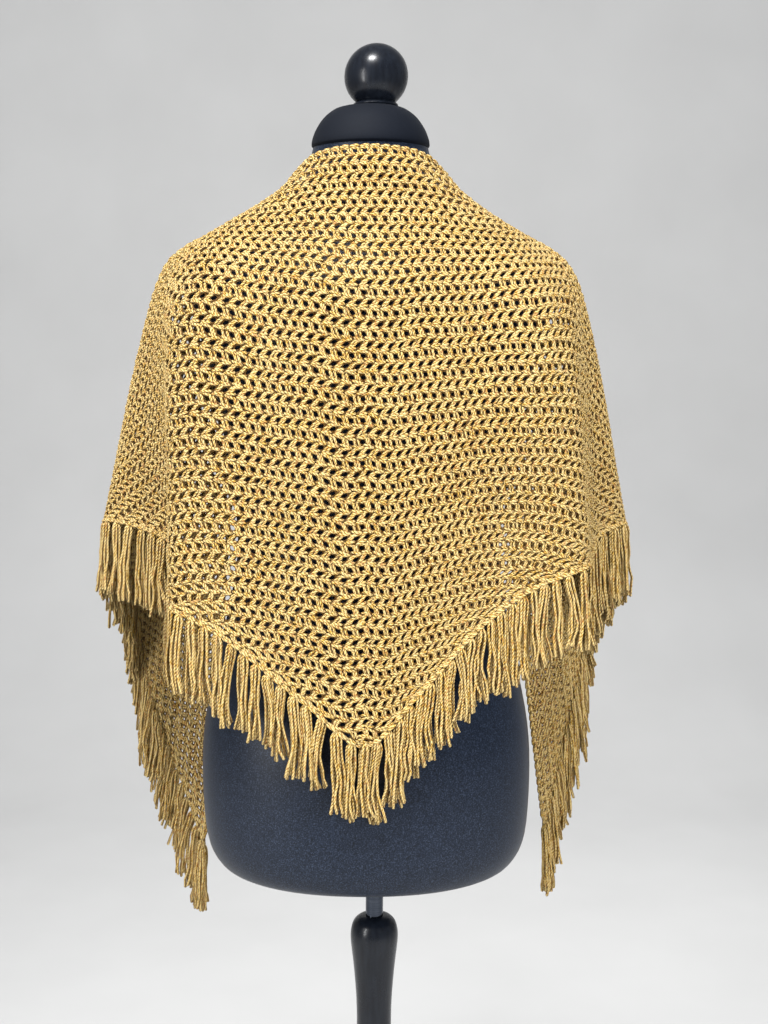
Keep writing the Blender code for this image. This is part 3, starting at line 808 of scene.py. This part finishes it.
def ground_net():
    """The thin net that carries the strands: a ring of faces round every stitch's hole, darkened as
    painted shade between the strands.
    """
    parts = []
    hole_x, hole_y = np.array(HOLE_CORNERS).T
    cell_x, cell_y = np.array(CELL_CORNERS).T
    corners = len(CELL_CORNERS)
    for row in range(ROWS):
        lean = (ROW_LEAN[0], -ROW_LEAN[1])[row % 2]
        count = STITCH_COUNTS[row]
        numbers = np.arange(count)[:, None]
        u, v = flat_place(row, numbers, 0.5, np.full((count, 1), 0.5))
        openness = (cloth.gather(u, v) - CLOSED_GATHER) / (1 - CLOSED_GATHER)
        openness = np.clip(openness, LEAST_OPEN, 1.0)
        inner_across = HOLE_MIDDLE[0] + (hole_x + lean * HOLE_SLANT * hole_y) * openness
        inner_down = HOLE_MIDDLE[1] + hole_y * openness
        across = np.hstack([np.tile(cell_x, (count, 1)), inner_across])
        down = np.hstack([np.tile(cell_y, (count, 1)), inner_down])
        u, v = flat_place(row, numbers, across, down)
        parts.append(cloth.place(u, v)[0])
    points = np.concatenate(parts)
    around = np.arange(corners)
    following = (around + 1) % corners
    ring = np.stack([around, corners + around, corners + following, following], axis=1)
    starts = np.arange(len(points)) * 2 * corners
    quads = (ring[None] + starts[:, None, None]).reshape(-1, 4)
    points = points.reshape(-1, 3)
    # The mark puts the net at the dark end of the painted crevice shade.
    marks = np.column_stack([np.tile(GROUND_SHADE_MARK, (len(points), 1)), points[:, 0]])
    return points, np.empty((0, 3), int), quads, marks, np.full(len(points), GROUND_TONE)


# Random differences of the strands, as standard deviations: of points and of whole strands
# across and down, of points outwards, and of the thickness in the stitches and elsewhere.
POINT_DRIFT = (0.022, 0.018)
STRAND_DRIFT = (0.035, 0.028)
OUT_DRIFT = 0.00018
STITCH_SIZE_DRIFT = 0.07
SIZE_DRIFT = 0.05
# Limits of the yarn's thinning where the cloth is gathered.
SHRINK_LIMITS = (0.88, 1.04)
# What strands keep from the slanted edges, the least half width for them, what they keep from
# the long edge, and the share of the depth that they reach.
SIDE_MARGIN = 0.0010
LEAST_HALF = 0.0006
TOP_MARGIN = 0.0012
DEPTH_SHARE = 0.993
# How far along the yarn's pattern a strand may start.
RUN_SHIFT = 0.02


def loose_tubes(centres, normals, radii, run, drift=SIZE_DRIFT, tones=(0, 1), end_tone=0.0):
    """Tubes that differ a little in thickness, in their place in the pattern and in tone."""
    shape = centres.shape[:2]
    each = (shape[0], 1)
    radii = radii * generator.normal(1, drift, each)
    run = run + generator.uniform(0, RUN_SHIFT, each)
    tones = np.broadcast_to(generator.uniform(*tones, each), shape).copy()
    tones[:, -2:] += end_tone
    return tube_mesh(centres, normals, radii, run, tones)


def lay_strands(row, numbers, across, down, out, size):
    """Tubes of one kind of strand along a row, with small random differences."""
    shape = (len(numbers), len(across))
    loose = generator.normal(0, 1, (shape[0], 2))
    across = across + generator.normal(0, POINT_DRIFT[0], shape) + loose[:, :1] * STRAND_DRIFT[0]
    down = down + generator.normal(0, POINT_DRIFT[1], shape) + loose[:, 1:] * STRAND_DRIFT[1]
    out = out + generator.normal(0, OUT_DRIFT, shape)
    u, v = flat_place(row, numbers[:, None], across, down)
    limit = np.maximum(Cloth.half_width(np.clip(v, 0, DEPTH)) - SIDE_MARGIN, LEAST_HALF)
    u = np.clip(u, -limit, limit)
    v = np.clip(v, TOP_MARGIN, DEPTH * DEPTH_SHARE)
    centres, normals = cloth.place(u, v, out)
    shrink = np.clip(cloth.gather(u, v), *SHRINK_LIMITS)
    steps = np.linalg.norm(np.diff(centres, axis=1), axis=-1)
    run = np.hstack([np.zeros((shape[0], 1)), np.cumsum(steps, axis=1)])
    return loose_tubes(centres, normals, YARN_RADIUS * size * shrink, run, STITCH_SIZE_DRIFT)


def stitch_rows(first, last):
    """Strands of all stitches in a range of rows: posts, and the links laid over their tops."""
    parts = []
    for row in range(first, last):
        odd = row % 2
        lean = -1 if odd else 1
        posts = np.arange(STITCH_COUNTS[row] + 1)
        for side, table in POST_STRANDS:
            across, down, out, size = np.array(table).T
            across = across * ROW_LEAN[odd] + side * POST_SPACING[odd]
            parts.append(lay_strands(row, posts, lean * across, down, out, size))
        links = np.arange(STITCH_COUNTS[row])
        for table in LINK_STRANDS:
            across, down, out, size = np.array(table).T
            if odd:
                across = 1 - across[::-1]
                down = down[::-1]
            parts.append(lay_strands(row, links, across, down, out, size))
    return join_parts(parts)


yarn_piece("crochet_ground", ground_net(), "shawl_body")

ROW_GROUPS = (0, 7, 15, 25, 39, ROWS)
for first, last in zip(ROW_GROUPS, ROW_GROUPS[1:]):
    name = f"crochet_rows_{first + 1:02d}_{last:02d}"
    yarn_piece(name, stitch_rows(first, last))

# The hem's first depth, the share of the depth where it ends, and a step from it into the cloth,
# across and up. The step across gets shorter nearer to the middle than STEP_LEAST_SIDE.
HEM_FIRST_DEPTH = 0.001
HEM_DEPTH_SHARE = 0.995
STEP_ACROSS = 0.012
STEP_UP = 0.008
STEP_LEAST_SIDE = 0.02


def hem_points(numbers):
    """Points on the hem at tassel numbers, with the directions outwards and downwards there."""
    hems = numbers * TIP_HEM / TASSELS_PER_SIDE
    v = DEPTH * (1 - np.abs(hems) / TIP_HEM)
    v = np.clip(v, HEM_FIRST_DEPTH, DEPTH * HEM_DEPTH_SHARE)
    u = np.sign(hems) * Cloth.half_width(v)
    at, normals = cloth.place(u, v)
    nearer = u * (1 - STEP_ACROSS / np.maximum(np.abs(u), STEP_LEAST_SIDE))
    inward = cloth.place(nearer, v - STEP_UP)[0]
    return at, normals, unit(at - inward)


# The two strands of a border link. Columns: distances outwards and down from the edge, and the
# tilt of the ends. CHAIN_REACH has the places of the points along the edge, in links.
CHAIN_STRANDS = ((0.0011, 0.0003, 0.0009), (0.0002, -0.0016, -0.0009))
CHAIN_SIZES = np.array([0.6, 1.0, 1.06, 1.0, 0.6])
CHAIN_RISE = 0.0008
CHAIN_RUN_STEP = 0.0026
CHAIN_TONES = (0.1, 1.1)
CHAIN_REACH = np.linspace(-0.64, 0.64, len(CHAIN_SIZES))[None]


def chain(at, normals, down, radius):
    """A row of chain links laid along an edge of the cloth."""
    shape = at.shape[:2]
    parts = []
    reach = np.linspace(-1, 1, shape[1])[None]
    for out, low, tilt in CHAIN_STRANDS:
        rise = out + CHAIN_RISE * np.cos(reach * math.pi / 2)
        centres = at + normals * rise[..., None] + down * (low + tilt * reach)[..., None]
        radii = radius * CHAIN_SIZES[None]
        run = np.cumsum(np.full(shape, CHAIN_RUN_STEP), axis=1)
        parts.append(loose_tubes(centres, normals, radii, run, tones=CHAIN_TONES))
    return join_parts(parts)


# Size of the borders' yarn, and how far they reach along their edges.
HEM_YARN = 1.12
TOP_YARN = 1.08
HEM_REACH = 0.998
TOP_REACH = 0.985
# Depth of the long edge's border, and a step from there into the cloth.
TOP_DEPTH = 0.0010
TOP_STEP_IN = 0.998
TOP_STEP_DOWN = 0.006


def link_places(length):
    """Places of the links' points along an edge, as shares of its length."""
    count = int(length / STITCH_WIDTH)
    return (np.arange(count)[:, None] + 0.5 + CHAIN_REACH) / count


def hem_border(side):
    """Chain links laid along one short edge."""
    shares = np.clip(link_places(math.hypot(TIP_HEM, DEPTH)), 0.0, HEM_REACH)
    return chain(*hem_points(shares * TASSELS_PER_SIDE * side), YARN_RADIUS * HEM_YARN)


def top_border():
    """Chain links laid along the long edge."""
    u = (link_places(2 * TOP_REACH * TIP_HEM) * 2 - 1) * TIP_HEM * TOP_REACH
    v = np.full(u.shape, TOP_DEPTH)
    at, normals = cloth.place(u, v)
    below = cloth.place(u * TOP_STEP_IN, v + TOP_STEP_DOWN)[0]
    return chain(at, normals, unit(at - below), YARN_RADIUS * TOP_YARN)


yarn_piece("border_hem_left", hem_border(-1))
yarn_piece("border_hem_right", hem_border(1))
yarn_piece("border_top", top_border())

SHARE, AWAY, SIZE = np.array(TASSEL_RINGS).T
# The yarns are held together down to KNOT_SHARE. LOOSE grows from there to the end.
KNOT_SHARE = 0.10
LOOSE = np.clip((SHARE - KNOT_SHARE) / (1 - KNOT_SHARE), 0, 1)
# What is left of a tassel's spread further down: shares of its way, then what is left.
SPREAD_LEFT = ((0.0, KNOT_SHARE, 0.40, 1.0), (1.0, 0.9, 0.55, 0.35))
# Gap between the hem and a tassel's start, the sway there, and the half waves of its bend.
HEM_GAP = 0.0008
SWAY_START = 0.4
BEND_WAVES = 0.9
FULL_TURN = 6.28
GOLDEN_ANGLE = 2.39996
# Random differences of tassels and strands. BEND is a tassel's, sideways and outwards. SWING
# and DRIFT are a strand's, in waves and steadily away. All three are metres.
LENGTH_LIMITS = (0.92, 1.08)
BEND = (0.0030, 0.0024)
WAVE_LIMITS = (0.7, 2.6)
SWING_LIMITS = (0.3, 1.0)
SWING = 0.0025
DRIFT = 0.0026
END_LIMITS = (-0.06, 0.035)
# The powers by which waves, drift and the ends' differences grow with LOOSE.
WAVE_POWER = 0.6
DRIFT_POWER = 1.6
END_POWER = 3
# Tassels are a little flat: factors for their width, depth, and swing and drift outwards.
TASSEL_WIDTH = 1.06
TASSEL_DEPTH = 0.86
SWING_OUT = 0.7
DRIFT_OUT = 0.6
# How much paler the cut ends are.
CUT_TONE = 1.2


def tassel_line(at, normal, down, sideway, spread, length):
    """A tassel's middle line with its heading, and the directions sideways and outwards."""
    outward = np.interp(SHARE, *SPREAD_LEFT)
    heading = np.array([0.0, 0.0, -1.0]) + down * (spread * outward)[:, None]
    heading = unit(heading + sideway * (SWAY_START + SHARE)[:, None])
    steps = np.diff(SHARE, prepend=SHARE[0]) * length
    axis = at + down * HEM_GAP + np.cumsum(heading * steps[:, None], axis=0)
    axis += heading[0] * SHARE[0] * length
    out = unit(normal - heading * (heading @ normal)[:, None])
    sideways = np.cross(heading, out)
    bend = generator.normal(0, 1, 2) * np.array(BEND)
    axis = axis + sideways * (bend[0] * np.sin(LOOSE * math.pi * BEND_WAVES))[:, None]
    axis = axis + out * (abs(bend[1]) * LOOSE)[:, None]
    return axis, heading, sideways, out


def tassel_strands(count, length, axis, heading, sideways, out):
    """The strands of one tassel round its middle line, each with its own waves and end."""
    turns = np.arange(count) * GOLDEN_ANGLE + generator.uniform(0, FULL_TURN)
    reach = np.sqrt((np.arange(count) + 0.6) / count)
    phases = generator.uniform(0, FULL_TURN, (count, 2))
    waves = generator.uniform(*WAVE_LIMITS, (count, 2))
    swing = generator.uniform(*SWING_LIMITS, (count, 2)) * SWING
    lean = generator.normal(0, 1, (count, 2)) * DRIFT
    wave = np.sin(phases[..., None] + waves[..., None] * FULL_TURN * SHARE)
    wave = wave * swing[..., None] * LOOSE**WAVE_POWER
    drift = lean[..., None] * LOOSE**DRIFT_POWER
    x = (np.cos(turns) * reach)[:, None] * AWAY * TASSEL_WIDTH + wave[:, 0] + drift[:, 0]
    y = (np.sin(turns) * reach)[:, None] * AWAY * TASSEL_DEPTH
    y = y + wave[:, 1] * SWING_OUT + drift[:, 1] * DRIFT_OUT
    centres = axis[None] + x[..., None] * sideways[None] + y[..., None] * out[None]
    more = generator.uniform(*END_LIMITS, (count, 1)) * LOOSE**END_POWER * length
    centres += more[..., None] * heading[None]
    # The facing also sets where the painted crevice shade falls round each strand.
    facing = np.cos(turns)[:, None, None] * sideways[None]
    facing = facing + (np.sin(turns)[:, None, None] + 0.5) * out[None]
    radii = TASSEL_YARN_RADIUS * SIZE[None]
    run = SHARE[None] * length
    return loose_tubes(centres, facing, radii, run, end_tone=CUT_TONE)


def tassels(numbers, count):
    """Tassels of count strands each, hanging from the hem at the given tassel numbers."""
    spread_hem, spread_value = np.array(SPREAD).T
    at, normals, down = hem_points(numbers)
    side = np.cross(down, normals)
    clumps = np.repeat(np.arange(len(numbers)), generator.integers(*CLUMP_SIZES, len(numbers)))
    sways = generator.normal(0, CLUMP_SWAY, len(numbers))
    lifts = generator.uniform(*CLUMP_LIFT, len(numbers))
    parts = []
    for number in range(len(numbers)):
        hem = abs(numbers[number]) * TIP_HEM / TASSELS_PER_SIDE
        clump = clumps[number]
        spread = np.interp(hem, spread_hem, spread_value) * lifts[clump]
        length = TASSEL_LENGTH * generator.uniform(*LENGTH_LIMITS)
        sway = sways[clump] + generator.normal(0, OWN_SWAY)
        sideway = side[number] * sway
        line = tassel_line(at[number], normals[number], down[number], sideway, spread, length)
        parts.append(tassel_strands(count, length, *line))
    return join_parts(parts)


# The tassel at the middle point of the hem belongs to the left side.
for label, first, last, step, strands in FRINGE_STRETCHES:
    for side_name, sign in (("left", -1), ("right", 1)):
        start = first + step / 2
        if first == 0:
            start = 0.0 if sign < 0 else step
        numbers = np.arange(start, last - 0.1, step)
        if last == TASSELS_PER_SIDE:
            numbers = np.append(numbers, TIP_TASSELS)
        parts = tassels(numbers * float(sign), strands)
        name = f"tassels_{label}_{side_name}"
        yarn_piece(name, parts, f"fringe_{label}_{side_name}")


jersey = jersey_material()
lacquer = lacquer_material()
steel = steel_material()


def loft(name, rings, material, ends, crease):
    """A smooth closed piece from rings of points, with its two ends closed to their middles."""
    count, segments = rings.shape[:2]
    points = np.vstack([rings.reshape(-1, 3), ends])
    bottom = count * segments
    triangles, quads = closed_faces(count, segments, 0, (bottom, bottom + 1))
    piece = make_piece(name, points, triangles, quads, material)
    piece.data.set_sharp_from_angle(angle=math.radians(crease))
    return piece


FORM_LOFT_RINGS = 81
FORM_LOFT_SEGMENTS = 88
# Angles, in degrees, above which an edge stays sharp.
FORM_CREASE = 50
TURNED_CREASE = 34


def smooth_form():
    """The padded torso through its table of rings, with finer rings between them."""
    table = spline(FORM_RINGS, np.linspace(0, len(FORM_RINGS) - 1, FORM_LOFT_RINGS))
    cosines, sines = circle(FORM_LOFT_SEGMENTS)
    z, middle_x, half_width, depth_front, depth_back, power = (column[:, None] for column in table.T)
    across = np.sign(cosines) * np.abs(cosines) ** (2 / power)
    ahead = np.sign(sines) * np.abs(sines) ** (2 / power)
    depth = np.where(ahead > 0, depth_front, depth_back)
    rings = np.stack([middle_x + half_width * across, depth * ahead, z + 0 * across], axis=-1)
    ends = [(rings[end, :, 0].mean(), 0.0, FORM_RINGS[end][0]) for end in (0, -1)]
    return loft("torso_cover", rings, jersey, ends, FORM_CREASE)


def smooth_profile(profile, steps):
    """A turned profile with smooth curves between its listed points."""
    return through_points(np.array(profile)[:, None], steps)[:, 0]


def turned_piece(name, profile, material, segments, ends):
    """A piece turned on the upright axis from radius and height pairs."""
    cosines, sines = circle(segments)
    radius, z = profile.T
    rings = np.stack([
        np.outer(radius, cosines),
        np.outer(radius, sines),
        np.outer(z, np.ones(segments)),
    ], axis=-1)
    return loft(name, rings, material, [(0.0, 0.0, ends[0]), (0.0, 0.0, ends[1])], TURNED_CREASE)


# The ball's lowest and highest ring, in degrees from its middle, and the number of rings.
BALL_LOWEST = -50
BALL_HIGHEST = 88
BALL_RINGS = 40
FOOT_STEPS = 4


def finial_profile():
    """The ball above its foot, from the narrow neck up to just below its top."""
    foot = smooth_profile(FINIAL_FOOT, FOOT_STEPS)
    angles = np.linspace(math.radians(BALL_LOWEST), math.radians(BALL_HIGHEST), BALL_RINGS)
    ball = np.stack([
        FINIAL_BALL_RADIUS * np.cos(angles),
        FINIAL_BALL_Z + FINIAL_BALL_RADIUS * np.sin(angles),
    ], axis=-1)
    return np.vstack([foot, ball])


stand_for(smooth_form(), "form_torso")

# Turned pieces: new name, node, profile, material, steps between points, segments, slot.
TURNED = (
    ("cap_cover", "neck_cap", NECK_CAP, cap_material(), 4, 72, "black_cap"),
    ("pole_tube", "pole", POLE, steel, 6, 40, "chrome"),
    ("turned_column", "column", COLUMN, lacquer, 4, 48, "black_wood"),
    ("turned_base", "base", BASE, lacquer, 4, 80, "black_wood"),
)
for name, node, profile, material, steps, segments, slot in TURNED:
    curve = smooth_profile(profile, steps)
    piece = turned_piece(name, curve, material, segments, (profile[0][1], profile[-1][1]))
    if node in ("pole", "column"):
        for vertex in piece.data.vertices:
            vertex.co.x += STAND_LEAN * (vertex.co.z - BASE[-1][1])
    stand_for(piece, node)

ball = turned_piece(
    "ball_knob", finial_profile(), lacquer, 64, (FINIAL_FOOT[0][1], FINIAL_BALL_Z + FINIAL_BALL_RADIUS)
)
for vertex in ball.data.vertices:
    lift = vertex.co.z - FINIAL_FOOT[0][1]
    vertex.co.x += FINIAL_X + lift * math.tan(FINIAL_LEAN)
stand_for(ball, "ball_finial")


# Studio paper: half its width, its near edge, its bend into a wall, and the wall's top.
PAPER_HALF = 5.0
PAPER_NEAR = -4.0
PAPER_BEND = 2.2
BEND_RADIUS = 1.2
BEND_STEPS = 12
PAPER_TOP = 5.0


def sweep():
    """Pale floor that curves up into a wall behind the object."""
    angles = np.linspace(0, math.pi / 2, BEND_STEPS + 1)
    y = PAPER_BEND + BEND_RADIUS * np.sin(angles)
    z = BEND_RADIUS - BEND_RADIUS * np.cos(angles)
    y = np.concatenate([[PAPER_NEAR], y, y[-1:]])
    z = np.concatenate([[0.0], z, [PAPER_TOP]])
    left = np.column_stack([np.full(len(y), -PAPER_HALF), y, z])
    low = np.arange(len(y) - 1)
    quads = np.stack([low, len(y) + low, len(y) + low + 1, low + 1], axis=1)
    points = np.vstack([left, left * (-1, 1, 1)])
    return make_piece("studio_sweep", points, np.empty((0, 3), int), quads, backdrop_material())


sweep()

WORLD_COLOUR = (0.86, 0.88, 0.92, 1.0)
WORLD_STRENGTH = 0.30
# Soft studio lights. Columns: name, place, target, width, height, power, and whether gloss
# mirrors it.
LIGHTS = (
    ("key", (-0.6, -1.4, 3.9), (0.0, 0.0, 1.2), 0.9, 0.7, 152.0, True),
    ("strip", (-2.0, -1.9, 1.4), (0.0, 0.0, 1.0), 0.35, 1.8, 42.0, True),
    ("fill", (1.7, -2.3, 1.7), (0.0, 0.0, 1.1), 1.4, 1.4, 78.0, False),
    ("front", (0.6, 2.1, 2.6), (0.0, 0.1, 1.2), 1.6, 1.2, 42.0, False),
)


def area_light(name, place, target, width, height, power, mirrored):
    """A rectangular light that faces its target."""
    data = bpy.data.lights.new(name, "AREA")
    data.shape = "RECTANGLE"
    data.size = width
    data.size_y = height
    data.energy = power
    light = new_object(name, data)
    light.location = place
    light.visible_glossy = mirrored
    away = np.array(place) - np.array(target)
    flat = math.hypot(away[0], away[1])
    light.rotation_euler = (math.atan2(flat, away[2]), 0.0, math.atan2(away[0], -away[1]))


for row in LIGHTS:
    area_light(*row)

world = bpy.data.worlds.new("studio")
world.use_nodes = True
background = world.node_tree.nodes["Background"]
background.inputs["Color"].default_value = WORLD_COLOUR
background.inputs["Strength"].default_value = WORLD_STRENGTH
bpy.context.scene.world = world
bpy.context.scene.view_settings.view_transform = "Standard"
